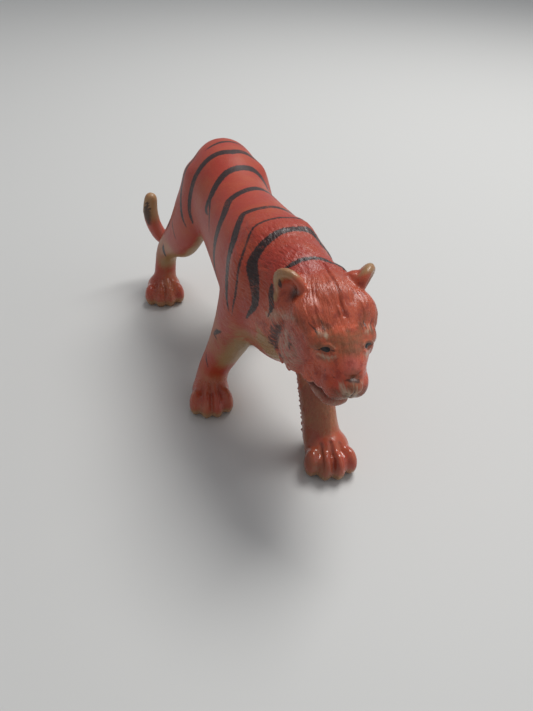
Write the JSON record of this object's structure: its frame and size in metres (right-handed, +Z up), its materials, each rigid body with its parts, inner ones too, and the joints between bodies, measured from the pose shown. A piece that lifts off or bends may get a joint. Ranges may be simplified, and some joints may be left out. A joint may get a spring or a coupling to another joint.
{
  "type": "tiger figurine",
  "caption": "Moulded soft plastic tiger walking with its head lowered, carved fur lines, hand painted black stripes over orange, cream belly and a tail hooked up to one side",
  "frame": {"origin": "middle of the bounding box on the surface that the paws stand on", "axes": "+Z up, the tiger walks towards -Y, +X to the tiger's left"},
  "size_m": [0.0494, 0.1392, 0.0666],
  "materials": {
    "painted_vinyl": "satin"
  },
  "bodies": {
    "root": {"tiger_figurine": "painted_vinyl"}
  },
  "joints": []
}
